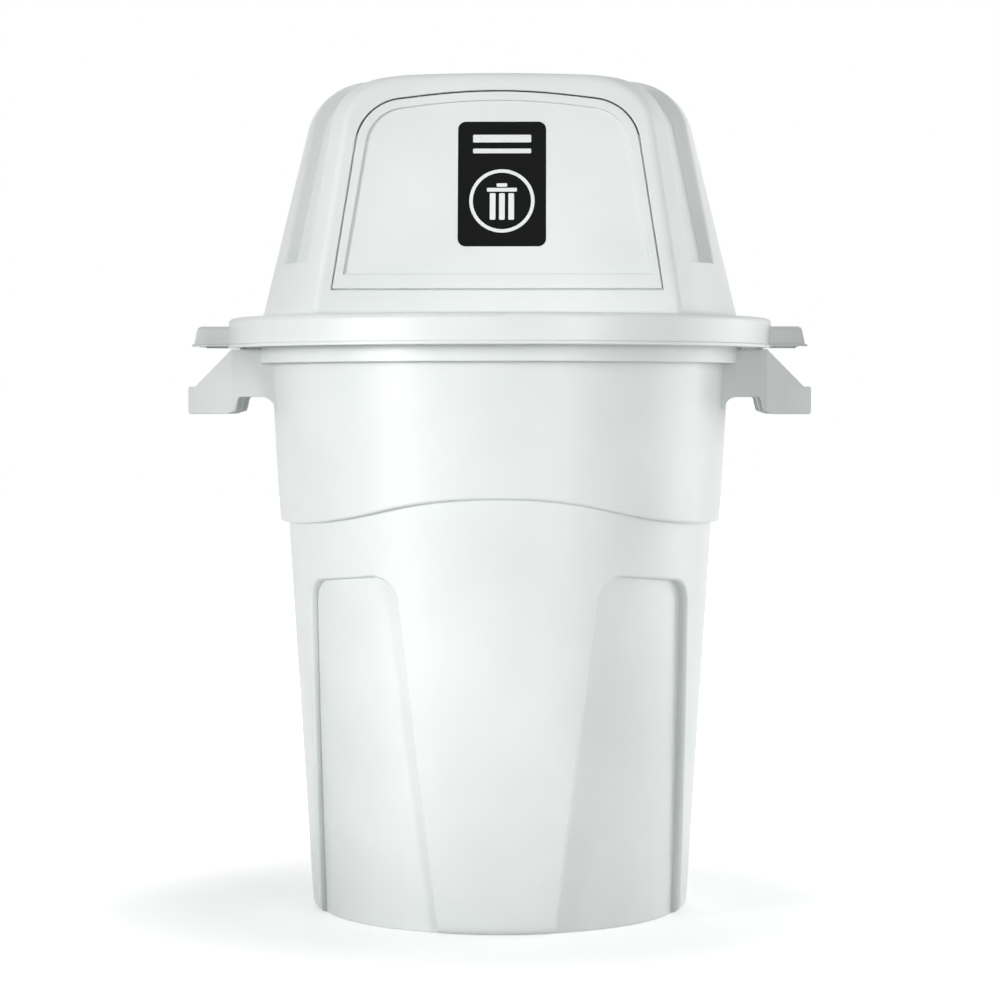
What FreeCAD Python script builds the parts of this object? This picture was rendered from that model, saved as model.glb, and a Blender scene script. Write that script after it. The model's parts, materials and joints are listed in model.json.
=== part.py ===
import FreeCAD, Part
import math
import os

import Sketcher
from FreeCAD import Placement, Rotation, Vector

# Round trash can with a dome lid and a sprung push door, in millimetres.
# +Z is up, the door faces -Y, the origin is the middle of the floor face.

SIZES = {
    # container: each radius is stepped out from the one below it
    "canHeight": 693.5,
    "footRadius": 222.0,
    "footRound": 12.0,
    "lowerDraft": 28.8,
    "bandStep": 9.7,
    "bandDraft": 10.5,
    "bandEdge": 458.5,
    "bandRound": 3.5,
    "waveRise": 33.0,
    "waveLean": 13.4,
    "waveLevel": 8.0,
    "waveFootRound": 450.0,
    "waveCrestRound": 500.0,
    "canWall": 3.6,
    "canFloor": 4.5,
    "panelDepth": 10.5,
    "panelMargin": 59.5,
    "panelSlope": 12.0,
    "panelTopHalf": 71.0,
    "panelBaseHalf": 101.0,
    "panelCorner": 30.0,
    "panelRound": 3.5,
    "rimReach": 15.0,
    "rimDrop": 49.5,
    "rimWall": 3.2,
    "rimRound": 2.5,
    # carrying handles, moulded in one with the container, measured out from the rim
    "gripLength": 78.0,
    "gripRootHalf": 71.0,
    "gripTipHalf": 61.0,
    "gripBend": 26.0,
    "gripDrop": 33.0,
    "gripFall": 43.5,
    "gripTall": 75.5,
    "gripLip": 5.5,
    "gripWall": 3.5,
    "archRise": 20.0,
    "archEnd": 18.5,
    "archRoot": 16.0,
    "archRound": 15.0,
    "footEase": 4.0,
    "gripFootRun": 12.0,
    # lid
    "seatGap": 0.3,
    "lidWall": 3.2,
    "ringReach": 35.0,
    "ringHeight": 35.0,
    "ringRound": 6.0,
    "ringLip": 1.6,
    "ringLipHeight": 4.0,
    "ringShelf": 40.0,
    "domeHeight": 282.0,
    "domeDrawIn": 66.7,
    "domeShoulderDrop": 9.0,
    "domeShoulderRound": 72.0,
    "crownFlat": 60.0,
    "crownRound": 1500.0,
    "domeFillet": 7.0,
    "seatRibGap": 1.2,
    "seatRibDepth": 12.0,
    "earLength": 38.0,
    "earHalf": 66.0,
    "earRise": 2.0,
    "earHeight": 23.5,
    "earDraft": 4.0,
    "earLip": 2.5,
    # leaning front face and the groove behind it
    "faceInset": 90.0,
    "faceLean": 11.5,
    "faceRound": 12.0,
    "grooveFront": 31.0,
    "grooveWide": 52.0,
    "grooveDepth": 13.0,
    "grooveEnd": 62.0,
    "grooveRound": 5.0,
    # door, set in from the edges of the face
    "doorLow": 30.6,
    "doorMargin": 15.8,
    "doorTopMargin": 21.9,
    "doorDrawIn": 32.0,
    "doorCrown": 19.0,
    "doorCorner": 56.0,
    "doorCrownRound": 640.0,
    "doorGap": 1.8,
    "doorWall": 3.0,
    "doorField": 2.5,
    "doorBorder": 9.5,
    "doorSill": 17.0,
    "stopLap": 5.0,
    "stopEnd": 25.0,
    "stopGap": 0.3,
    # hinge
    "axisDrop": 29.9,
    "axisDepth": 17.0,
    "rodRadius": 2.5,
    "rodFit": 0.08,
    "lugGap": 3.0,
    "lugThick": 8.0,
    "lugRadius": 7.0,
    "capRadius": 6.0,
    "capThick": 4.0,
    "knuckleIn": 45.0,
    "knuckleWide": 16.0,
    "knuckleRadius": 6.5,
    "springIn": 34.0,
    "springTurns": 4.0,
    "springWire": 1.8,
    "springPitch": 2.6,
    "springRadius": 4.6,
    "springDoorLeg": 30.0,
    "springLidLeg": 35.0,
    # how far a cutter runs past the wall that it cuts
    "overcut": 20.0,
}

doc = FreeCAD.newDocument("TrashCan")
sheet = doc.addObject("Spreadsheet::Sheet", "dims")


class Size:
    """A length that carries its value and the sheet expression behind it."""

    def __init__(self, value, text):
        self.value = value
        self.text = text

    def join(self, other, sign, value):
        return Size(value, f"({self.text} {sign} {size(other).text})")

    def __add__(self, other):
        return self.join(other, "+", self.value + size(other).value)

    def __sub__(self, other):
        return self.join(other, "-", self.value - size(other).value)

    def __mul__(self, other):
        return self.join(other, "*", self.value * size(other).value)

    def __truediv__(self, other):
        return self.join(other, "/", self.value / size(other).value)

    def __neg__(self):
        return Size(-self.value, f"(0 - {self.text})")


def size(thing):
    """Let a plain number stand beside the named sizes."""
    return thing if isinstance(thing, Size) else Size(float(thing), f"{float(thing):.6f}")


def fill_sheet():
    """Write every driving size into the sheet under its own alias."""
    named = {}
    for row, (name, value) in enumerate(SIZES.items(), start=1):
        sheet.set(f"A{row}", name)
        sheet.set(f"B{row}", str(value))
        sheet.setAlias(f"B{row}", name)
        named[name] = Size(value, f"dims.{name}")
    doc.recompute()
    return named


D = fill_sheet()


def sine(angle):
    return Size(math.sin(math.radians(angle.value)), f"sin({angle.text} * 1 deg)")


def cosine(angle):
    return Size(math.cos(math.radians(angle.value)), f"cos({angle.text} * 1 deg)")


def root_of(square):
    return Size(math.sqrt(square.value), f"sqrt({square.text})")


def taper(low, high, height, tall):
    """Radius at a height on a wall that widens evenly from low to high."""
    return low + (high - low) * height / tall


STEP_RADIUS = D["footRadius"] + D["lowerDraft"]
BAND_LOW_RADIUS = STEP_RADIUS + D["bandStep"]
BAND_TOP_RADIUS = BAND_LOW_RADIUS + D["bandDraft"]
RIM_RADIUS = BAND_TOP_RADIUS + D["rimReach"]
GRIP_REACH = RIM_RADIUS + D["gripLength"]
GRIP_ROOF = D["canHeight"] - D["gripDrop"]
GRIP_BOTTOM = GRIP_ROOF - D["gripTall"]
PANEL_TOP = D["bandEdge"] - D["panelMargin"]
RING_RADIUS = RIM_RADIUS + D["ringReach"]
RING_TOP = D["canHeight"] + D["seatGap"] + D["lidWall"]
RING_BOTTOM = RING_TOP - D["ringHeight"]
DOME_RADIUS = RING_RADIUS - D["ringShelf"]
DOME_SHOULDER = DOME_RADIUS - D["domeDrawIn"]
SHOULDER_HEIGHT = D["domeHeight"] - D["domeShoulderDrop"]
LEAN_SINE = sine(D["faceLean"])
LEAN_COSINE = cosine(D["faceLean"])
WAVE_SINE = sine(D["waveLean"])
WAVE_COSINE = cosine(D["waveLean"])
WAVE_CREST = D["waveLevel"] + D["waveCrestRound"] * WAVE_SINE / (WAVE_COSINE + 1)
WAVE_FOOT = WAVE_CREST + D["waveRise"] * WAVE_COSINE / WAVE_SINE
FACE_SETBACK = DOME_RADIUS - D["faceInset"]


def face_half(up):
    """Half the width of the leaning face, so far up along it."""
    across = taper(DOME_RADIUS, DOME_SHOULDER, up * LEAN_COSINE, SHOULDER_HEIGHT)
    ahead = FACE_SETBACK - up * LEAN_SINE
    return root_of(across * across - ahead * ahead)


DOOR_LOW_HALF = face_half(D["doorLow"]) - D["doorMargin"]
DOOR_TOP_HALF = DOOR_LOW_HALF - D["doorDrawIn"]
DOOR_PEAK = D["domeHeight"] / LEAN_COSINE - D["doorTopMargin"]
DOOR_TALL = DOOR_PEAK - D["doorLow"]
AXIS_HEIGHT = DOOR_PEAK - D["axisDrop"]
LUG_AT = DOOR_TOP_HALF + D["lugGap"]
KNUCKLE_AT = LUG_AT - D["knuckleIn"]
SPRING_AT = KNUCKLE_AT - D["springIn"]
ROD_HALF = LUG_AT + D["lugThick"] + D["seatGap"] + D["capThick"]


PLANES = {
    "plan": Rotation(Vector(0, 0, 1), 0),
    "front": Rotation(Vector(1, 0, 0), 90),
    "side": Rotation(Vector(1, 1, 1), 120),
    "face": Rotation(Vector(1, 0, 0), 90 - SIZES["faceLean"]),
}


def bind(thing, **values):
    """Drive properties of an object from the sheet."""
    for name, value in values.items():
        thing.setExpression(name.replace("__", "."), size(value).text)


def place(thing, at):
    """Bind the base point of an object to three sizes."""
    bind(thing, Placement__Base__x=at[0], Placement__Base__y=at[1], Placement__Base__z=at[2])


def corner_arc(before, at, after, radius):
    """Centre and touching points of a rounded corner."""
    inward = (before - at).normalize()
    onward = (after - at).normalize()
    half = inward.getAngle(onward) / 2
    reach = radius / math.tan(half)
    middle = (inward + onward).normalize() * (radius / math.sin(half))
    return at + middle, at + inward * reach, at + onward * reach


def outline(name, plane, corners, at=(0, 0, 0)):
    """Closed sketch from corners (x, y) or (x, y, radius), bound to the sheet."""
    drawn = doc.addObject("Sketcher::SketchObject", name)
    drawn.Placement = Placement(Vector(), PLANES[plane])
    place(drawn, at)
    if plane == "face":
        drawn.setExpression("Placement.Rotation.Angle", "(90 - dims.faceLean) * 1 deg")
    corners = [tuple(size(part) for part in corner) for corner in corners]
    spots = [Vector(corner[0].value, corner[1].value, 0) for corner in corners]
    count = len(corners)
    leave, arrive, arcs = [], [], {}
    for index, corner in enumerate(corners):
        before, at, after = spots[index - 1], spots[index], spots[(index + 1) % count]
        if len(corner) == 3:
            centre, first, last = corner_arc(before, at, after, corner[2].value)
            turns_left = (at - before).cross(after - at).z > 0
            arcs[index] = (centre, first, last, turns_left)
            arrive.append(first)
            leave.append(last)
        else:
            arrive.append(at)
            leave.append(at)
    lines = []
    for index in range(count):
        far = arrive[(index + 1) % count]
        lines.append(drawn.addGeometry(Part.LineSegment(leave[index], far)))
    for index, corner in enumerate(corners):
        came, goes = lines[index - 1], lines[index]
        if index not in arcs:
            drawn.addConstraint(Sketcher.Constraint("Coincident", came, 2, goes, 1))
            pin_point(drawn, goes, corner, f"p{index}")
            continue
        centre, first, last, turns_left = arcs[index]
        begin, finish = (first, last) if turns_left else (last, first)
        angles = [math.atan2(spot.y - centre.y, spot.x - centre.x) for spot in (begin, finish)]
        circle = Part.Circle(centre, Vector(0, 0, 1), corner[2].value)
        arc = drawn.addGeometry(Part.ArcOfCircle(circle, angles[0], angles[1]))
        point = drawn.addGeometry(Part.Point(spots[index]), True)
        ends = (1, 2) if turns_left else (2, 1)
        drawn.addConstraint([
            Sketcher.Constraint("Tangent", came, 2, arc, ends[0]),
            Sketcher.Constraint("Tangent", arc, ends[1], goes, 1),
            Sketcher.Constraint("PointOnObject", point, 1, came),
            Sketcher.Constraint("PointOnObject", point, 1, goes),
        ])
        pin_point(drawn, point, corner, f"p{index}")
        round_at = drawn.addConstraint(Sketcher.Constraint("Radius", arc, corner[2].value))
        drawn.renameConstraint(round_at, f"p{index}r")
        drawn.setExpression(f"Constraints.p{index}r", corner[2].text)
    return drawn


def pin_point(drawn, geometry, corner, name):
    """Hold the first point of a geometry at its corner."""
    for kind, part, tail in (("DistanceX", corner[0], "x"), ("DistanceY", corner[1], "y")):
        held = drawn.addConstraint(Sketcher.Constraint(kind, geometry, 1, part.value))
        drawn.renameConstraint(held, name + tail)
        drawn.setExpression(f"Constraints.{name}{tail}", part.text)


def revolve(name, corners):
    """Turn a half profile drawn in the XZ plane about the Z axis."""
    turned = doc.addObject("Part::Revolution", name)
    turned.Source = outline(name + "Profile", "front", corners)
    turned.Axis = Vector(0, 0, 1)
    turned.Angle = 360
    turned.Solid = True
    return turned


def extrude(name, plane, corners, forward, backward=0, at=(0, 0, 0)):
    """Push an outline along its normal, forward and backward."""
    pushed = doc.addObject("Part::Extrusion", name)
    pushed.Base = outline(name + "Profile", plane, corners, at)
    pushed.DirMode = "Normal"
    pushed.Solid = True
    bind(pushed, LengthFwd=forward, LengthRev=backward)
    return pushed


def fuse(name, *things):
    joined = doc.addObject("Part::MultiFuse", name)
    joined.Shapes = list(things)
    return joined


def common(name, *things):
    shared = doc.addObject("Part::MultiCommon", name)
    shared.Shapes = list(things)
    return shared


def cut(name, base, *tools):
    """Take one or more solids away from a base."""
    left = doc.addObject("Part::Cut", name)
    left.Base = base
    left.Tool = tools[0] if len(tools) == 1 else fuse(name + "Tools", *tools)
    return left


def soften(name, base, radius, chosen):
    """Round every edge of a solid whose points between its ends all pass a test."""
    doc.recompute()
    rounded = doc.addObject("Part::Fillet", name)
    rounded.Base = base
    edges = []
    for number, edge in enumerate(base.Shape.Edges, start=1):
        if not edge.Degenerated and all(chosen(spot) for spot in edge.discretize(9)[1:-1]):
            edges.append((number, radius.value, radius.value))
    rounded.Edges = edges
    return rounded


def mirror(name, thing, normal):
    turned = doc.addObject("Part::Mirroring", name)
    turned.Source = thing
    turned.Normal = normal
    return turned


def lower_core(name, inset, floor, *bend):
    """Solid under the band: the tapered lower wall moved in by an inset."""
    top = D["bandEdge"] + D["waveRise"] + D["canWall"] * 2
    foot = taper(D["footRadius"], STEP_RADIUS, floor, D["bandEdge"]) - inset
    head = taper(D["footRadius"], STEP_RADIUS, top, D["bandEdge"]) - inset
    return revolve(name, [(0, floor), (foot, floor, *bend), (head, top), (0, top)])


def band_core(name, inset, top):
    """Solid of the wide upper band, with the waved lower edge cut away."""
    low = D["bandEdge"] - D["overcut"]
    tall = D["canHeight"] - D["rimDrop"] - D["bandEdge"]
    foot = taper(BAND_LOW_RADIUS, BAND_TOP_RADIUS, low - D["bandEdge"], tall) - inset
    head = taper(BAND_LOW_RADIUS, BAND_TOP_RADIUS, top - D["bandEdge"], tall) - inset
    ring = revolve(name + "Ring", [(0, low), (foot, low), (head, top), (0, top)])
    edge = D["bandEdge"] + inset
    crest = edge + D["waveRise"]
    wide = BAND_TOP_RADIUS * 2
    below = extrude(name + "Wave", "front", [
        (-wide, low - D["overcut"]), (wide, low - D["overcut"]), (wide, edge),
        (WAVE_FOOT, edge, D["waveFootRound"]),
        (WAVE_CREST, crest, D["waveCrestRound"]),
        (-WAVE_CREST, crest, D["waveCrestRound"]),
        (-WAVE_FOOT, edge, D["waveFootRound"]),
        (-wide, edge),
    ], wide, wide)
    return cut(name, ring, below)


def panel_cutters(name, inset):
    """Four flared recesses that run out through the foot, one in each quarter."""
    lift = D["panelSlope"] / 2
    low = -D["footRound"]
    wedge = extrude(name + "Wedge", "front", [
        (-D["panelBaseHalf"] - inset, low),
        (D["panelBaseHalf"] + inset, low),
        (D["panelTopHalf"] + inset, PANEL_TOP - lift + inset, D["panelCorner"] + inset),
        (-D["panelTopHalf"] - inset, PANEL_TOP + lift + inset, D["panelCorner"] + inset),
    ], STEP_RADIUS * 2)
    wedge.Base.Placement = Placement(Vector(), Rotation(Vector(0, 0, 1), 45) * PLANES["front"])
    core = lower_core(name + "Core", D["panelDepth"] + inset, low * 2)
    right = cut(name + "Right", wedge, core)
    left = mirror(name + "Left", right, Vector(1, 0, 0))
    front = fuse(name + "Front", right, left)
    return front, mirror(name + "Back", front, Vector(0, 1, 0))


def outer_form():
    """Outside of the container as a full solid, eased round the panels and along the wave."""
    none = size(0)
    block = cut("canBlock", lower_core("canCore", none, none), *panel_cutters("canPanel", none))
    crest = SIZES["bandEdge"] + SIZES["waveRise"] + SIZES["bandRound"] / 2
    ledge = (STEP_RADIUS.value + BAND_LOW_RADIUS.value) / 2 + SIZES["bandRound"] / 2

    def on_panel_rim(spot):
        wall = taper(D["footRadius"], STEP_RADIUS, size(spot.z), D["bandEdge"])
        on_wall = abs(math.hypot(spot.x, spot.y) - wall.value) < 0.02
        return on_wall and SIZES["panelRound"] / 2 < spot.z < SIZES["bandEdge"]

    def on_wave(spot):
        return math.hypot(spot.x, spot.y) > ledge and spot.z < crest

    eased = soften("canEased", block, D["panelRound"], on_panel_rim)
    lower = common("canLower", eased, lower_core("canFoot", none, none, D["footRound"]))
    whole = fuse("canForm", lower, band_core("canBand", none, D["canHeight"]))
    return soften("canOuter", whole, D["bandRound"], on_wave)


def inner_form():
    """Inside of the container: the same form moved in by the wall."""
    wall = D["canWall"]
    foot = lower_core("canInnerFoot", wall, D["canFloor"], D["footRound"])
    lower = cut("canInnerLower", foot, *panel_cutters("canInnerPanel", wall))
    return fuse("canInner", lower, band_core("canInnerBand", wall, D["canHeight"] + D["overcut"]))


def rim():
    """Turned-down rim, an open channel below."""
    top = D["canHeight"]
    bottom = top - D["rimDrop"]
    inner = BAND_TOP_RADIUS - D["canWall"]
    skirt = RIM_RADIUS - D["rimWall"]
    return revolve("rim", [
        (inner, top - D["rimWall"]), (skirt, top - D["rimWall"]), (skirt, bottom),
        (RIM_RADIUS, bottom), (RIM_RADIUS, top, D["rimRound"]), (inner, top),
    ])


def handle():
    """Hollow bracket with a sloping roof, end lip, two cheeks and a middle rib."""
    wall = D["gripWall"]
    wide = D["gripRootHalf"] * 2
    root = BAND_LOW_RADIUS - D["canWall"] - D["overcut"]
    inside = root - wall
    bend = RIM_RADIUS + D["gripBend"]
    lip_top = GRIP_ROOF - D["gripFall"]
    arch_top = GRIP_BOTTOM + D["archRise"]
    arch_root = RIM_RADIUS - D["archRoot"]
    arch_end = RIM_RADIUS + D["archEnd"]
    side = extrude("gripSide", "front", [
        (root, GRIP_ROOF), (root, GRIP_BOTTOM), (arch_root - D["archRoot"], GRIP_BOTTOM),
        (arch_root, arch_top, D["archRound"]), (arch_end, arch_top, wall),
        (arch_end + wall, GRIP_BOTTOM + D["footEase"], wall),
        (arch_end + wall + D["gripFootRun"], GRIP_BOTTOM, D["gripLip"]),
        (GRIP_REACH, GRIP_BOTTOM, D["gripLip"] / 2), (GRIP_REACH, lip_top, D["gripLip"] / 2),
        (bend + D["gripFall"], lip_top, D["gripLip"] / 2), (bend, GRIP_ROOF),
    ], wide, wide)
    plan = extrude("gripPlan", "plan", grip_plan(root, bend, size(0)), D["canHeight"])
    under = GRIP_ROOF - wall
    lip = GRIP_REACH - D["gripLip"]
    turn = bend - wall * (math.sqrt(2) - 1)
    below = GRIP_BOTTOM - D["overcut"]
    hollow_side = extrude("gripHollowSide", "front", [
        (inside, under), (inside, below), (lip, below), (lip, under - (lip - turn)), (turn, under),
    ], wide, wide)
    hollow_plan = extrude("gripHollowPlan", "plan", grip_plan(inside, bend, wall), D["canHeight"])
    far = GRIP_REACH + wall
    rib = extrude("gripRib", "plan", [
        (inside - wall, -wall / 2), (far, -wall / 2), (far, wall / 2), (inside - wall, wall / 2),
    ], D["canHeight"])
    hollow = cut("gripHollow", common("gripHollowForm", hollow_side, hollow_plan), rib)
    return cut("gripRight", common("gripForm", side, plan), hollow)


def grip_plan(root, bend, inset):
    """Plan of a handle, square at its root and narrowing past the bend."""
    wide = D["gripRootHalf"] - inset
    tip = D["gripTipHalf"] - inset
    return [(root, -wide), (bend, -wide), (GRIP_REACH, -tip), (GRIP_REACH, tip), (bend, wide), (root, wide)]


def container():
    """Outer form with rim and handles, less the inner form."""
    right = handle()
    left = mirror("gripLeft", right, Vector(1, 0, 0))
    whole = fuse("canWhole", outer_form(), rim(), right, left)
    return cut("container", whole, inner_form())


def face_point(up, depth):
    """Y and Z of a point on the leaning face, up along it and so deep behind it."""
    return (up * LEAN_SINE + depth * LEAN_COSINE - FACE_SETBACK,
            up * LEAN_COSINE - depth * LEAN_SINE + RING_TOP)


def face_line(height, depth):
    """Y of the leaning face at a height above the ring, so deep behind it."""
    return height * LEAN_SINE / LEAN_COSINE + depth / LEAN_COSINE - FACE_SETBACK


def dome_corners(inset):
    """Wall, shoulder and crown of the dome, from the ring up to the axis."""
    shoulder = RING_TOP + SHOULDER_HEIGHT - inset
    crown = RING_TOP + D["domeHeight"] - inset
    return [
        (DOME_SHOULDER - inset, shoulder, D["domeShoulderRound"] - inset),
        (D["crownFlat"], crown, D["crownRound"]),
        (0, crown),
    ]


def dome_core(name, inset, low):
    """Plain dome of revolution, moved in by an inset."""
    foot = taper(DOME_RADIUS, DOME_SHOULDER, low - RING_TOP, SHOULDER_HEIGHT) - inset
    return revolve(name, [(0, low), (foot, low)] + dome_corners(inset))


def face_cutter(name, inset, low, *bend):
    """Everything in front of the leaning face, with a bend at its foot if one is given."""
    high = D["domeHeight"] * 2
    far = -RING_RADIUS * 2
    return extrude(name, "side", [
        (far, low), (face_line(low - RING_TOP, inset), low, *bend),
        (face_line(high, inset), high + RING_TOP), (far, high + RING_TOP),
    ], RING_RADIUS * 2, RING_RADIUS * 2)


def groove_cutter(name, inset):
    """Arched channel over the dome behind the face, closed at a ledge on each side."""
    low = D["grooveEnd"] - inset
    high = D["domeHeight"] * 2
    front = D["grooveFront"] - inset
    rear = D["grooveFront"] + D["grooveWide"] + inset
    slab = extrude(name + "Slab", "side", [
        (face_line(low, front), low + RING_TOP), (face_line(low, rear), low + RING_TOP),
        (face_line(high, rear), high + RING_TOP), (face_line(high, front), high + RING_TOP),
    ], RING_RADIUS * 2, RING_RADIUS * 2)
    return cut(name, slab, dome_core(name + "Core", D["grooveDepth"] + inset, RING_TOP - D["overcut"]))


def ear_form(name, inset):
    """Drafted lug over a handle, with a thin lip along its open lower edge."""
    low = RING_BOTTOM + D["earRise"]
    top = low + D["earHeight"] - inset
    lip = low + D["earLip"]
    foot = low if inset.value == 0 else RING_BOTTOM - D["earRise"]
    reach = RING_RADIUS + D["earLength"] - inset
    half = D["earHalf"] - inset
    root = RING_RADIUS - D["ringRound"] - D["lidWall"] * 2
    tuck = D["earLip"] if inset.value == 0 else size(0.6) * D["earLip"]
    end = extrude(name + "End", "front", [
        (root, foot), (reach, foot), (reach, lip), (reach - tuck, lip),
        (reach - D["earDraft"] - tuck, top, D["ringRound"] - inset), (root, top),
    ], D["earHalf"] * 2, D["earHalf"] * 2)
    flank = extrude(name + "Flank", "side", [
        (-half, foot), (half, foot), (half, lip), (half - tuck, lip),
        (half - D["earDraft"] - tuck, top, D["ringRound"] - inset),
        (tuck + D["earDraft"] - half, top, D["ringRound"] - inset), (tuck - half, lip), (-half, lip),
    ], RING_RADIUS * 2)
    right = common(name + "Right", end, flank)
    return right, mirror(name + "Left", right, Vector(1, 0, 0))


def lid_outer():
    """Ring with its lip, dome, leaning face, groove and ears as one full solid."""
    lip = RING_RADIUS + D["ringLip"]
    core = revolve("lidCore", [
        (0, RING_BOTTOM), (lip, RING_BOTTOM), (lip, RING_BOTTOM + D["ringLipHeight"]),
        (RING_RADIUS, RING_BOTTOM + D["ringLipHeight"]),
        (RING_RADIUS, RING_TOP, D["ringRound"]),
        (DOME_RADIUS, RING_TOP, D["domeFillet"]),
    ] + dome_corners(size(0)))
    shaped = cut("lidShaped", core, face_cutter("lidFace", size(0), RING_TOP, D["domeFillet"]),
                 groove_cutter("lidGroove", size(0)))
    half_way = dome_core("grooveHalfWay", D["grooveDepth"] / 2, RING_TOP)
    rear = SIZES["grooveFront"] + SIZES["grooveWide"]

    def depth(spot):
        rise = spot.z - RING_TOP.value
        return (spot.y + FACE_SETBACK.value) * LEAN_COSINE.value - rise * LEAN_SINE.value

    def on_face_edge(spot):
        rise = spot.z - RING_TOP.value
        level = rise < SIZES["domeFillet"] and abs(spot.x) < DOOR_LOW_HALF.value
        return abs(depth(spot)) < 0.02 and rise > SIZES["domeFillet"] / 2 and not level

    def on_groove_edge(spot):
        sides = min(abs(depth(spot) - SIZES["grooveFront"]), abs(depth(spot) - rear)) < 0.02
        return sides and not half_way.Shape.isInside(spot, 0.01, True)

    softened = soften("lidSoftened", shaped, D["faceRound"], on_face_edge)
    eased = soften("lidEased", softened, D["grooveRound"], on_groove_edge)
    return fuse("lidOuter", eased, *ear_form("ear", size(0)))


def lid_inner():
    """Space inside the lid: ring channel round the seat rib, dome and ears."""
    wall = D["lidWall"]
    under = RING_TOP - wall
    below = RING_BOTTOM - D["overcut"]
    wide = RING_RADIUS - wall
    rib = RIM_RADIUS + D["seatRibGap"]
    foot = under - D["seatRibDepth"]
    space = revolve("lidRingSpace", [(0, below), (wide, below), (wide, under), (0, under)])
    seat = revolve("seatRib", [(rib, foot), (rib + wall, foot), (rib + wall, RING_TOP), (rib, RING_TOP)])
    channel = cut("lidChannel", space, seat)
    low = under - wall
    dome = cut("lidDome", dome_core("lidDomeCore", wall, low),
               face_cutter("lidDomeFace", wall, low), groove_cutter("lidDomeGroove", wall))
    return fuse("lidInner", channel, dome, *ear_form("earHollow", wall))


def door_outline(grow):
    """Door corners on the leaning face, grown on every side."""
    low = D["doorLow"] - grow
    peak = DOOR_PEAK + grow
    return [
        (-DOOR_LOW_HALF - grow, low), (DOOR_LOW_HALF + grow, low),
        (DOOR_TOP_HALF + grow, peak - D["doorCrown"], D["doorCorner"] + grow),
        (0, peak, D["doorCrownRound"]),
        (-DOOR_TOP_HALF - grow, peak - D["doorCrown"], D["doorCorner"] + grow),
    ]


def on_face(depth):
    """Base point of a sketch that lies so deep behind the leaning face."""
    return (0,) + face_point(size(0), size(depth))


def rod_bar(name, radius, half):
    """Round bar along the hinge axis."""
    bar = doc.addObject("Part::Cylinder", name)
    bar.Placement = Placement(Vector(), Rotation(Vector(0, 1, 0), 90))
    place(bar, (-half,) + face_point(AXIS_HEIGHT, D["axisDepth"]))
    bind(bar, Radius=radius, Height=half * 2)
    return bar


def hinge_eye(name, start, wide, radius, root):
    """Tongue from a wall out to a round end about the hinge axis, one on each side."""
    axis, depth = AXIS_HEIGHT, D["axisDepth"]
    corners = [(axis - radius, root), (axis + radius, root),
               (axis + radius, depth + radius, radius * 0.95), (axis - radius, depth + radius, radius * 0.95)]
    places = []
    for up, deep, *bend in corners:
        places.append(face_point(up, deep) + tuple(bend))
    places.reverse()
    right = extrude(name + "Right", "side", places, wide, 0, (start, 0, 0))
    return right, mirror(name + "Left", right, Vector(1, 0, 0))


def lid():
    """Moulded lid: shell, seat rib, door opening and two hinge lugs."""
    shell = cut("lidShell", lid_outer(), lid_inner())
    wall = D["lidWall"]
    opening = extrude("doorOpening", "face", door_outline(D["doorGap"]), wall, wall * 2, on_face(0))
    bore = rod_bar("lugBore", D["rodRadius"] + D["rodFit"], ROD_HALF)
    lugs = hinge_eye("lug", LUG_AT, D["lugThick"], D["lugRadius"], D["lidWall"] / 2)
    framed = cut("lidFramed", shell, opening)
    return cut("lid", fuse("lidLugged", framed, *lugs), bore)


def door():
    """Flap with a raised border, a stop flange behind the opening and hinge eyes."""
    thick = D["doorWall"] + D["doorField"] + D["stopGap"]
    slab = extrude("doorSlab", "face", door_outline(size(0)), 0, thick, on_face(0))
    border = D["doorBorder"]
    low = D["doorLow"] + D["doorSill"]
    peak = DOOR_PEAK - border
    lean = (DOOR_LOW_HALF - DOOR_TOP_HALF) / (DOOR_TALL - D["doorCrown"])
    field = extrude("doorField", "face", [
        (border + lean * D["doorSill"] - DOOR_LOW_HALF, low),
        (DOOR_LOW_HALF - border - lean * D["doorSill"], low),
        (DOOR_TOP_HALF - border, peak - D["doorCrown"], D["doorCorner"] - border),
        (0, peak, D["doorCrownRound"]),
        (border - DOOR_TOP_HALF, peak - D["doorCrown"], D["doorCorner"] - border),
    ], D["doorWall"], D["doorField"], on_face(0))
    reach = D["doorGap"] + D["stopLap"]
    high = AXIS_HEIGHT - D["stopEnd"]
    low_half = DOOR_LOW_HALF + reach
    high_half = DOOR_LOW_HALF - lean * (high - D["doorLow"]) + reach
    stop_from = D["lidWall"] + D["stopGap"]
    foot = D["doorLow"] - reach
    flange = extrude("doorFlange", "face", [
        (-low_half, foot), (low_half, foot), (high_half, high), (-high_half, high),
    ], 0, thick - stop_from, on_face(stop_from))
    panel = cut("doorPanel", fuse("doorPlate", slab, flange), field)
    eyes = hinge_eye("eye", KNUCKLE_AT, D["knuckleWide"], D["knuckleRadius"], thick - D["doorWall"] / 2)
    bore = rod_bar("eyeBore", D["rodRadius"] + D["rodFit"], ROD_HALF)
    return cut("door", fuse("doorWhole", panel, *eyes), bore)


def hinge_rod():
    """Steel rod through the lugs, the eyes and the springs."""
    return rod_bar("hinge_rod", D["rodRadius"], ROD_HALF)


def rod_caps():
    """Push-on caps that keep the rod between the lugs."""
    caps = []
    start = LUG_AT + D["lugThick"] + D["seatGap"]
    axis = face_point(AXIS_HEIGHT, D["axisDepth"])
    for name, side in (("rod_cap_left", -1), ("rod_cap_right", 1)):
        disc = doc.addObject("Part::Cylinder", name + "Disc")
        disc.Placement = Placement(Vector(), Rotation(Vector(0, 1, 0), 90 * side))
        place(disc, (start * side,) + axis)
        bind(disc, Radius=D["capRadius"], Height=D["capThick"])
        hole = rod_bar(name + "Hole", D["rodRadius"] + D["rodFit"], ROD_HALF + D["capThick"])
        caps.append(cut(name, disc, hole))
    return caps


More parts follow.
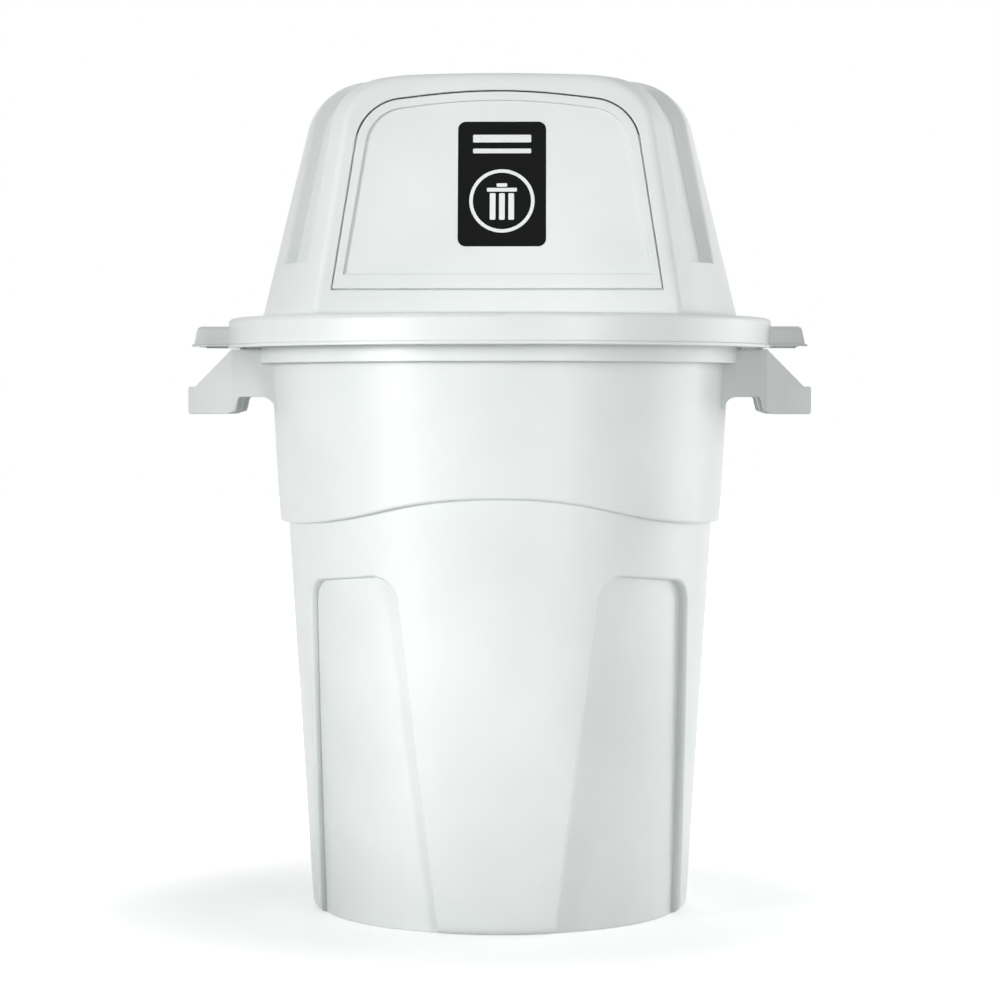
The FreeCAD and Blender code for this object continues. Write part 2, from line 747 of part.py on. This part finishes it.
def biarc(start, start_way, finish, finish_way):
    """Two arcs that meet smoothly between two points with given directions."""
    chord = finish - start
    both = start_way + finish_way
    loose = 2 * (1 - start_way.dot(finish_way))
    reach = (math.sqrt(chord.dot(both) ** 2 + loose * chord.dot(chord)) - chord.dot(both)) / loose
    meet = (start + finish + (start_way - finish_way) * reach) / 2
    return [tangent_arc(start, start_way, meet), tangent_arc(finish, -finish_way, meet)]


def tangent_arc(start, way, finish):
    """Arc from a point along a direction to another point."""
    chord = finish - start
    along = Vector(chord).normalize()
    off = way - along * way.dot(along)
    half = way.getAngle(along)
    middle = (start + finish) / 2 + off.normalize() * (chord.Length / 2 * math.tan(half / 2))
    return Part.Arc(start, middle, finish).toShape()


def leg_tilt(leg, reach):
    """Turn of a spring leg that leaves the coil and ends so far in front of the axis."""
    coil = SIZES["springRadius"]
    return math.atan2(leg, coil) - math.acos(reach / math.hypot(coil, leg))


def spring_path(side):
    """Wire of one spring about the axis: door leg, turns of two arcs a quarter, lid leg."""
    coil, wire, pitch = SIZES["springRadius"], SIZES["springWire"], SIZES["springPitch"]
    clear = SIZES["axisDepth"] - wire / 2 - SIZES["stopGap"]
    door_back = SIZES["doorWall"] + SIZES["doorField"] + SIZES["stopGap"]
    start = leg_tilt(SIZES["springDoorLeg"], clear - door_back)
    finish = math.tau * SIZES["springTurns"] - leg_tilt(SIZES["springLidLeg"], clear - SIZES["lidWall"])
    steps = math.ceil((finish - start) / (math.pi / 2))
    spots, ways = [], []
    for step in range(steps + 1):
        turn = start + (finish - start) * step / steps
        across = SPRING_AT.value + pitch * turn / math.tau
        spots.append(Vector(side * across, -coil * math.cos(turn), coil * math.sin(turn)))
        way = Vector(side * pitch / math.tau, coil * math.sin(turn), coil * math.cos(turn))
        ways.append(way.normalize())
    first = spots[0] - ways[0] * SIZES["springDoorLeg"]
    last = spots[-1] + ways[-1] * SIZES["springLidLeg"]
    edges = [Part.LineSegment(first, spots[0]).toShape()]
    for step in range(steps):
        edges += biarc(spots[step], ways[step], spots[step + 1], ways[step + 1])
    edges.append(Part.LineSegment(spots[-1], last).toShape())
    return Part.Wire(edges), first, ways[0]


def least_gap(path):
    """Smallest space between the turns of a spring, measured on points."""
    spots = path.discretize(400)
    apart = int(len(spots) * math.pi * SIZES["springRadius"] / path.Length)
    nearest = min(spots[one].distanceToPoint(spots[two])
                  for one in range(len(spots)) for two in range(one + apart, len(spots)))
    return nearest - SIZES["springWire"]


def springs():
    """Two mirrored torsion springs that press the door shut against its stop."""
    coils = []
    axis_y, axis_z = face_point(AXIS_HEIGHT, D["axisDepth"])
    for name, side in (("spring_left", -1), ("spring_right", 1)):
        path, begin, way = spring_path(side)
        ring = Part.Wire(Part.makeCircle(SIZES["springWire"] / 2, begin, way))
        coil = doc.addObject("Part::Feature", name)
        coil.Shape = path.makePipeShell([ring], True, False)
        coil.Placement = Placement(Vector(), Rotation(Vector(1, 0, 0), -SIZES["faceLean"]))
        place(coil, (0, axis_y, axis_z))
        coils.append(coil)
        print(name, "least gap between turns", round(least_gap(path), 2), "mm")
    return coils


PIECES = [container(), lid(), door(), hinge_rod()] + rod_caps() + springs()
doc.recompute()


def check(pieces):
    """Stop if any object failed or any finished shape is not sound."""
    for thing in doc.Objects:
        if "Invalid" in thing.State or "Error" in thing.State:
            raise RuntimeError(f"{thing.Name} failed: {thing.State}")
    for piece in pieces:
        if piece.Shape.isNull() or not piece.Shape.isValid():
            raise RuntimeError(f"{piece.Label} has no sound shape")


check(PIECES)
os.makedirs("parts", exist_ok=True)
for piece in PIECES:
    piece.Shape.exportStep(f"parts/{piece.Label}.step")
    print(piece.Label, len(piece.Shape.Solids), round(piece.Shape.Volume / 1000, 1), "cm3")
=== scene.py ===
import json
import math

import bpy
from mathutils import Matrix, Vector


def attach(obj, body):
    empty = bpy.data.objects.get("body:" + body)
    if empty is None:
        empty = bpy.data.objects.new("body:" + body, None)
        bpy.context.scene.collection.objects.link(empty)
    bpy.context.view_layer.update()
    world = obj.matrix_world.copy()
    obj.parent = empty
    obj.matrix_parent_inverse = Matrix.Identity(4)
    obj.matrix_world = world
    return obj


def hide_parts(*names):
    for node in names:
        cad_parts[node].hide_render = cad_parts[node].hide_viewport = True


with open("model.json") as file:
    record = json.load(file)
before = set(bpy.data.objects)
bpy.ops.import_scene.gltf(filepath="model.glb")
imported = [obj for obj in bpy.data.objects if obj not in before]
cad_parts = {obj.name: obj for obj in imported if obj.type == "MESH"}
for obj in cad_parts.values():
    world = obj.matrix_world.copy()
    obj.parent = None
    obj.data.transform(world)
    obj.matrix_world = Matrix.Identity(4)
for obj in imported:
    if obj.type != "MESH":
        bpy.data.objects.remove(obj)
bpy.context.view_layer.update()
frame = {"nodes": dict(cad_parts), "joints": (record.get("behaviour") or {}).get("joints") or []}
print("frame loaded:", sorted(frame["nodes"]))


# colour and shader helpers

def hexColour(text):  # a screen colour as the linear one that sockets take
    parts = [int(text[i:i + 2], 16) / 255 for i in (1, 3, 5)]
    return [c / 12.92 if c <= 0.04045 else ((c + 0.055) / 1.055) ** 2.4 for c in parts] + [1.0]


def addNode(tree, kind, links=None, **settings):  # a setting is an input socket or else a property
    node = tree.nodes.new(kind)
    for name, value in settings.items():
        if name in node.inputs:
            node.inputs[name].default_value = value
        else:
            setattr(node, name, value)
    for socket, source in (links or {}).items():
        tree.links.new(source, node.inputs[socket])
    return node


def newMaterial(name):
    made = bpy.data.materials.new(name)
    made.use_nodes = True
    made.node_tree.nodes.clear()
    return made, made.node_tree


def objectPlace(tree):
    return addNode(tree, "ShaderNodeTexCoord").outputs["Object"]


def noise(tree, place, perMetre, **settings):
    return addNode(tree, "ShaderNodeTexNoise", {"Vector": place}, Scale=perMetre, **settings).outputs["Fac"]


def colourRamp(tree, source, stops, colours):
    ramp = addNode(tree, "ShaderNodeValToRGB", {"Fac": source})
    for element, stop, colour in zip(ramp.color_ramp.elements, stops, colours):
        element.position = stop
        element.color = colour
    return ramp.outputs["Color"]


def mapRange(tree, source, given, wanted, **settings):  # turns the given stretch into the wanted one
    ends = {"From Min": given[0], "From Max": given[1], "To Min": wanted[0], "To Max": wanted[1]}
    return addNode(tree, "ShaderNodeMapRange", {"Value": source}, **ends, **settings).outputs["Result"]


def addSkin(tree, links, **settings):
    skin = addNode(tree, "ShaderNodeBsdfPrincipled", links, **settings)
    addNode(tree, "ShaderNodeOutputMaterial", {"Surface": skin.outputs["BSDF"]})


# moulded polypropylene: satin white, a fine grain, faint flow clouds, handling scuffs and softened edges

plastic = {
    "deep": "#dde2e0", "pale": "#e6eae8", "cloudMm": 160.0, "cloudStops": (0.3, 0.7),
    "scuff": "#cfd4d2", "scuffMm": 14.0, "scuffStops": (0.66, 0.8), "scuffMost": 0.35,
    "rough": (0.34, 0.46), "roughStops": (0.3, 0.7), "ior": 1.49,
    "grainMm": 0.9, "grainDepthMm": 0.3, "grainStrength": 0.05,
    "edgeMm": 2.2, "edgeSamples": 6,
}


def mouldedPolypropylene(name, spec):
    made, tree = newMaterial(name)
    place = objectPlace(tree)
    clouds = noise(tree, place, 1000 / spec["cloudMm"], Detail=3.0, Roughness=0.5)
    tint = colourRamp(tree, clouds, spec["cloudStops"], (hexColour(spec["deep"]), hexColour(spec["pale"])))
    scuffs = noise(tree, place, 1000 / spec["scuffMm"], Detail=6.0, Roughness=0.7)
    most = spec["scuffMost"]
    mask = colourRamp(tree, scuffs, spec["scuffStops"], ((0, 0, 0, 1), (most, most, most, 1)))
    worn = hexColour(spec["scuff"])
    colour = addNode(tree, "ShaderNodeMix", {"Factor": mask, "A": tint}, data_type="RGBA", B=worn)
    rough = mapRange(tree, scuffs, spec["roughStops"], spec["rough"])
    grain = noise(tree, place, 1000 / spec["grainMm"], Detail=2.0, Roughness=0.6)
    edge = addNode(tree, "ShaderNodeBevel", samples=spec["edgeSamples"], Radius=spec["edgeMm"] / 1000)
    relief = {"Height": grain, "Normal": edge.outputs["Normal"]}
    depth = spec["grainDepthMm"] / 1000
    bump = addNode(tree, "ShaderNodeBump", relief, Strength=spec["grainStrength"], Distance=depth)
    surface = {"Base Color": colour.outputs["Result"], "Roughness": rough, "Normal": bump.outputs["Normal"]}
    addSkin(tree, surface, IOR=spec["ior"])
    return made


# drawn steel rod, caps and wire: bright, with fine lines along the draw

steel = {
    "dark": "#8f9296", "bright": "#c3c5c8", "lineMm": 0.6, "lineStretch": 20.0,
    "lineStops": (0.35, 0.65), "rough": (0.2, 0.4),
}


def drawnSteel(name, spec):
    made, tree = newMaterial(name)
    stretch = (1 / spec["lineStretch"], 1.0, 1.0)
    along = addNode(tree, "ShaderNodeMapping", {"Vector": objectPlace(tree)}, Scale=stretch)
    lines = noise(tree, along.outputs["Vector"], 1000 / spec["lineMm"], Detail=3.0)
    tint = colourRamp(tree, lines, spec["lineStops"], (hexColour(spec["dark"]), hexColour(spec["bright"])))
    rough = mapRange(tree, lines, (0.0, 1.0), spec["rough"])
    addSkin(tree, {"Base Color": tint, "Roughness": rough}, Metallic=1.0)
    return made


mouldedNodes = ("container", "lid", "door")
whitePlastic = mouldedPolypropylene("moulded_polypropylene_white", plastic)
wireSteel = drawnSteel("drawn_steel", steel)

for nodeName, node in frame["nodes"].items():
    node.data.materials.clear()
    node.data.materials.append(whitePlastic if nodeName in mouldedNodes else wireSteel)
print("materials on:", len(frame["nodes"]), "nodes")


# the door's leaning face as the part has it, in millimetres and degrees

doorFace = {"lean": 11.5, "setback": 191.0, "ringTop": 697.0, "fieldDepth": 2.5}


def onDoor(piece, face, across, up, depth):  # lays a flat piece on the face, x across and y up
    lean = math.radians(face["lean"])
    piece.rotation_euler = (math.pi / 2 - lean, 0, 0)
    back = up * math.sin(lean) + depth * math.cos(lean) - face["setback"]
    high = up * math.cos(lean) - depth * math.sin(lean) + face["ringTop"]
    piece.location = Vector((across, back, high)) / 1000
    bpy.ops.object.transform_apply(location=True, rotation=True, scale=True)


# sticker on the door: black vinyl with a plain bin sign and two blank bars in white ink, in millimetres

vinyl = {
    "tints": {"black_vinyl": ("#0b0d0c", "#111312"), "white_ink": ("#dfe3e1", "#e9ecea")},
    "mottlesPerMetre": 900.0, "mottleStops": (0.35, 0.65), "rough": (0.42, 0.55), "specular": 0.08,
}

sticker = {
    "up": 153.0, "aside": 5.0, "wide": 100.0, "tall": 146.0, "corner": 9.0, "cornerSteps": 8,
    "clear": 0.02, "thick": 0.3, "inkThick": 0.08,
    "ringRadius": 37.0, "ringWide": 4.0, "ringDrop": 20.0, "ringSteps": 96,
    "signUp": 13.0, "markCorner": 1.2,
    "bars": [(0.0, 53.0, 66.0, 9.0), (0.0, 38.5, 66.0, 5.5)],  # across, up, wide, tall
    "sign": [
        (0.0, 0.0, 34.0, 4.5), (0.0, 5.5, 12.0, 4.0),  # lid and knob
        (-10.5, -19.5, 6.5, 31.0), (0.0, -19.5, 6.5, 31.0), (10.5, -19.5, 6.5, 31.0),  # staves
    ],
}


def printedVinyl(name, spec):  # slightly mottled ink with a soft sheen
    made, tree = newMaterial(name)
    mottle = noise(tree, objectPlace(tree), spec["mottlesPerMetre"], Detail=3.0)
    tint = colourRamp(tree, mottle, spec["mottleStops"], [hexColour(text) for text in spec["tints"][name]])
    rough = mapRange(tree, mottle, (0.0, 1.0), spec["rough"])
    addSkin(tree, {"Base Color": tint, "Roughness": rough}, **{"Specular IOR Level": spec["specular"]})
    return made


def thicken(thick):  # gives the flat face in edit mode its thickness, outwards
    bpy.ops.mesh.select_all(action="SELECT")
    bpy.ops.mesh.extrude_region_move(TRANSFORM_OT_translate={"value": (0, 0, thick / 1000)})
    bpy.ops.mesh.select_all(action="SELECT")
    bpy.ops.mesh.normals_make_consistent(inside=False)
    bpy.ops.object.mode_set(mode="OBJECT")


def flatPlate(wide, tall, corner, thick, steps):
    bpy.ops.object.select_all(action="DESELECT")
    bpy.ops.mesh.primitive_plane_add(size=1)
    bpy.context.object.scale = (wide / 1000, tall / 1000, 1)
    bpy.ops.object.transform_apply(location=False, rotation=False, scale=True)
    bpy.ops.object.mode_set(mode="EDIT")
    bpy.ops.mesh.select_all(action="SELECT")
    bpy.ops.mesh.bevel(offset=corner / 1000, segments=steps, affect="VERTICES")
    thicken(thick)
    return bpy.context.object


def flatRing(radius, wide, thick, steps):
    bpy.ops.object.select_all(action="DESELECT")
    bpy.ops.mesh.primitive_circle_add(vertices=steps, radius=radius / 1000, fill_type="NGON")
    bpy.ops.object.mode_set(mode="EDIT")
    bpy.ops.mesh.select_all(action="SELECT")
    bpy.ops.mesh.inset(thickness=wide / 1000)
    bpy.ops.mesh.delete(type="FACE")
    thicken(thick)
    return bpy.context.object


def joinAs(name, pieces, material):
    bpy.ops.object.select_all(action="DESELECT")
    for piece in pieces:
        piece.select_set(True)
    bpy.context.view_layer.objects.active = pieces[0]
    if len(pieces) > 1:
        bpy.ops.object.join()
    joined = bpy.context.object
    joined.name = name
    joined.data.materials.append(material)
    return joined


def makeSticker(spec, face):
    steps = spec["cornerSteps"]
    depth = face["fieldDepth"] - spec["clear"]
    plate = flatPlate(spec["wide"], spec["tall"], spec["corner"], spec["thick"], steps)
    onDoor(plate, face, spec["aside"], spec["up"], depth)
    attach(joinAs("sticker_vinyl", [plate], printedVinyl("black_vinyl", vinyl)), "door")
    top = depth - spec["thick"]
    ringUp = spec["up"] - spec["ringDrop"]
    ring = flatRing(spec["ringRadius"], spec["ringWide"], spec["inkThick"], spec["ringSteps"])
    onDoor(ring, face, spec["aside"], ringUp, top)
    shapes = [ring]
    for middle, marks in ((spec["up"], spec["bars"]), (ringUp + spec["signUp"], spec["sign"])):
        for across, up, wide, tall in marks:
            mark = flatPlate(wide, tall, spec["markCorner"], spec["inkThick"], steps)
            onDoor(mark, face, spec["aside"] + across, middle + up, top)
            shapes.append(mark)
    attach(joinAs("sticker_ink", shapes, printedVinyl("white_ink", vinyl)), "door")


makeSticker(sticker, doorFace)
print("sticker on the door")


# torsion springs, in millimetres about the hinge: coil and lid leg stay on the lid, the door leg turns

spring = {
    "coil": 4.6, "wire": 1.8, "pitch": 2.6, "turns": 4, "at": 78.0,
    "doorLeg": 30.0, "doorReach": 10.0, "lidLeg": 35.0, "lidReach": 12.6,
    "stepsPerTurn": 32, "wireSides": 20, "smoothAngle": 40.0,
}
doorHinge = next(joint for joint in frame["joints"] if joint["name"] == "door_swing")


def legTilt(spec, leg, reach):  # turn of a leg that leaves the coil and ends so far in front of the axis
    return math.atan2(leg, spec["coil"]) - math.acos(reach / math.hypot(spec["coil"], leg))


def coilPoint(spec, side, turn):  # place and direction of the wire after a turn about the axis
    across = spec["at"] + spec["pitch"] * turn / math.tau
    ahead = spec["coil"] * math.cos(turn)
    high = spec["coil"] * math.sin(turn)
    point = Vector((side * across, -ahead, high))
    way = Vector((side * spec["pitch"] / math.tau, high, ahead))
    return point, way.normalized()


def wireLeg(start, finish, spec):
    bpy.ops.object.select_all(action="DESELECT")
    along = finish - start
    bpy.ops.mesh.primitive_cylinder_add(
        vertices=spec["wireSides"], radius=spec["wire"] / 2, depth=along.length,
        location=(start + finish) / 2, rotation=along.to_track_quat("Z", "Y").to_euler(),
    )
    bpy.ops.object.transform_apply(location=True, rotation=True, scale=True)
    return bpy.context.object


def wireCoil(start, finish, side, spec):
    bpy.ops.object.select_all(action="DESELECT")
    point, way = coilPoint(spec, side, start)
    bpy.ops.mesh.primitive_circle_add(
        vertices=spec["wireSides"], radius=spec["wire"] / 2,
        location=point, rotation=way.to_track_quat("Z", "Y").to_euler(),
    )
    bpy.ops.object.transform_apply(location=True, rotation=True, scale=True)
    coil = bpy.context.object
    wound = coil.modifiers.new("turns", "SCREW")
    wound.axis = "X"
    wound.angle = start - finish
    wound.screw_offset = side * spec["pitch"] * (finish - start) / math.tau
    wound.steps = wound.render_steps = spec["stepsPerTurn"] * spec["turns"]
    wound.use_normal_calculate = True
    bpy.ops.object.modifier_apply(modifier="turns")
    bpy.ops.object.mode_set(mode="EDIT")
    bpy.ops.mesh.select_all(action="SELECT")
    bpy.ops.mesh.fill_holes(sides=0)  # closes the wire's two ends
    bpy.ops.mesh.normals_make_consistent(inside=False)
    bpy.ops.object.mode_set(mode="OBJECT")
    return coil


def toHinge(piece, spec, face):  # from millimetres about the axis to the frame
    bpy.ops.object.select_all(action="DESELECT")
    piece.select_set(True)
    bpy.context.view_layer.objects.active = piece
    piece.scale = (0.001, 0.001, 0.001)
    piece.rotation_euler = (-math.radians(face["lean"]), 0, 0)
    piece.location = doorHinge["pos_m"]
    bpy.ops.object.transform_apply(location=True, rotation=True, scale=True)
    bpy.ops.object.shade_smooth_by_angle(angle=math.radians(spec["smoothAngle"]))


def makeSpring(side, name, spec, face):
    start = legTilt(spec, spec["doorLeg"], spec["doorReach"])
    finish = math.tau * spec["turns"] - legTilt(spec, spec["lidLeg"], spec["lidReach"])
    first, firstWay = coilPoint(spec, side, start)
    last, lastWay = coilPoint(spec, side, finish)
    coil = wireCoil(start, finish, side, spec)
    lidLeg = wireLeg(last, last + lastWay * spec["lidLeg"], spec)
    doorLeg = wireLeg(first - firstWay * spec["doorLeg"], first, spec)
    wound = joinAs(name + "_coil", [coil, lidLeg], wireSteel)
    toHinge(wound, spec, face)
    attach(wound, "lid")
    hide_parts(name)
    leg = joinAs(name + "_door_leg", [doorLeg], wireSteel)
    toHinge(leg, spec, face)
    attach(leg, "door")


for springSide, springName in ((-1, "spring_left"), (1, "spring_right")):
    makeSpring(springSide, springName, spring, doorFace)
print("springs wound")


# studio, in metres: white floor and backdrop, two strip lamps in front, two broad ones beside and behind

studio = {
    "floorColour": "#f2f3f3", "floorSize": 30.0, "floorDrop": 0.0003,
    "floorGlow": 0.4, "fade": (0.3, 0.8),  # the glow grows to white away from the can's shadow
    "horizonLevel": 0.465, "zenithLevel": 0.375,
    "lamps": {
        "key": {
            "place": (-2.15, -1.87, 0.8), "aim": (0.06, -0.14, 0.54),
            "wide": 0.55, "tall": 1.25, "spread": 20.0, "power": 1.7,
        },
        "fill": {
            "place": (1.4, -2.4, 0.72), "aim": (-0.1, 0, 0.54),
            "wide": 0.5, "tall": 1.25, "spread": 18.0, "power": 0.66,
        },
        "rimRight": {
            "place": (2.6, 0.7, 0.7), "aim": (0, 0, 0.5),
            "wide": 1.6, "tall": 1.6, "spread": 180.0, "power": 26.0,
        },
        "rimBack": {
            "place": (-0.1, 2.8, 0.6), "aim": (0, 0, 0.5),
            "wide": 1.0, "tall": 1.0, "spread": 180.0, "power": 18.0,
        },
    },
}
white = (1, 1, 1, 1)


def seenLevel(tree):  # 1 for what the camera sees, also in gloss and through clear pieces, and 0 as light
    path = addNode(tree, "ShaderNodeLightPath")
    seen = path.outputs["Is Camera Ray"]
    for ray in ("Is Glossy Ray", "Is Transmission Ray"):
        either = {0: seen, 1: path.outputs[ray]}
        seen = addNode(tree, "ShaderNodeMath", either, operation="MAXIMUM").outputs["Value"]
    return seen


def makeFloor(spec):
    bpy.ops.object.select_all(action="DESELECT")
    bpy.ops.mesh.primitive_plane_add(size=spec["floorSize"], location=(0, 0, -spec["floorDrop"]))
    floor = bpy.context.object
    floor.name = "studio_floor"
    made, tree = newMaterial("studio_paper")
    apart = addNode(tree, "ShaderNodeVectorMath", {0: objectPlace(tree)}, operation="LENGTH")
    glows = (spec["floorGlow"], 1.0)
    fade = mapRange(tree, apart.outputs["Value"], spec["fade"], glows, interpolation_type="SMOOTHSTEP")
    level = addNode(tree, "ShaderNodeMath", {0: seenLevel(tree), 1: fade}, operation="MULTIPLY")
    matt = addNode(tree, "ShaderNodeBsdfDiffuse", Color=hexColour(spec["floorColour"]))
    glow = addNode(tree, "ShaderNodeEmission", {"Strength": level.outputs["Value"]}, Color=white)
    both = addNode(tree, "ShaderNodeAddShader", {0: matt.outputs["BSDF"], 1: glow.outputs["Emission"]})
    addNode(tree, "ShaderNodeOutputMaterial", {"Surface": both.outputs["Shader"]})
    floor.data.materials.append(made)


def makeWorld(spec):
    world = bpy.data.worlds.new("studio_world")
    bpy.context.scene.world = world
    world.use_nodes = True
    tree = world.node_tree
    tree.nodes.clear()
    way = addNode(tree, "ShaderNodeTexCoord").outputs["Generated"]
    height = addNode(tree, "ShaderNodeSeparateXYZ", {"Vector": way}).outputs["Z"]
    tent = mapRange(tree, height, (0.0, 1.0), (spec["horizonLevel"], spec["zenithLevel"]))
    ends = {"Value": seenLevel(tree), "To Min": tent}
    level = addNode(tree, "ShaderNodeMapRange", ends, **{"To Max": 1.0})
    sky = addNode(tree, "ShaderNodeBackground", {"Strength": level.outputs["Result"]}, Color=white)
    addNode(tree, "ShaderNodeOutputWorld", {"Surface": sky.outputs["Background"]})


def makeLamp(name, spec):
    data = bpy.data.lights.new(name, "AREA")
    data.shape = "RECTANGLE"
    data.size = spec["wide"]
    data.size_y = spec["tall"]
    data.spread = math.radians(spec["spread"])
    data.energy = spec["power"]
    lamp = bpy.data.objects.new(name, data)
    bpy.context.scene.collection.objects.link(lamp)
    lamp.location = spec["place"]
    beam = Vector(spec["aim"]) - Vector(spec["place"])
    lamp.rotation_euler = beam.to_track_quat("-Z", "Y").to_euler()


makeFloor(studio)
makeWorld(studio)
for lampName, lampSpec in studio["lamps"].items():
    makeLamp("lamp_" + lampName, lampSpec)
bpy.context.scene.view_settings.view_transform = "Standard"
print("studio ready")


# camera: long lens at the height of the handles, nearly square on to the door

lens = {"focal": 108.0, "sensor": 36.0, "distance": 3.57, "height": 0.6015, "azimuth": 1.0, "tilt": 1.91}


def makeCamera(spec):
    data = bpy.data.cameras.new("view_camera")
    data.lens = spec["focal"]
    data.sensor_width = spec["sensor"]
    data.dof.use_dof = False
    camera = bpy.data.objects.new("view_camera", data)
    bpy.context.scene.collection.objects.link(camera)
    turn = math.radians(spec["azimuth"])
    away = spec["distance"]
    camera.location = (away * math.sin(turn), -away * math.cos(turn), spec["height"])
    camera.rotation_euler = (math.radians(90 - spec["tilt"]), 0, turn)
    bpy.context.scene.camera = camera


makeCamera(lens)
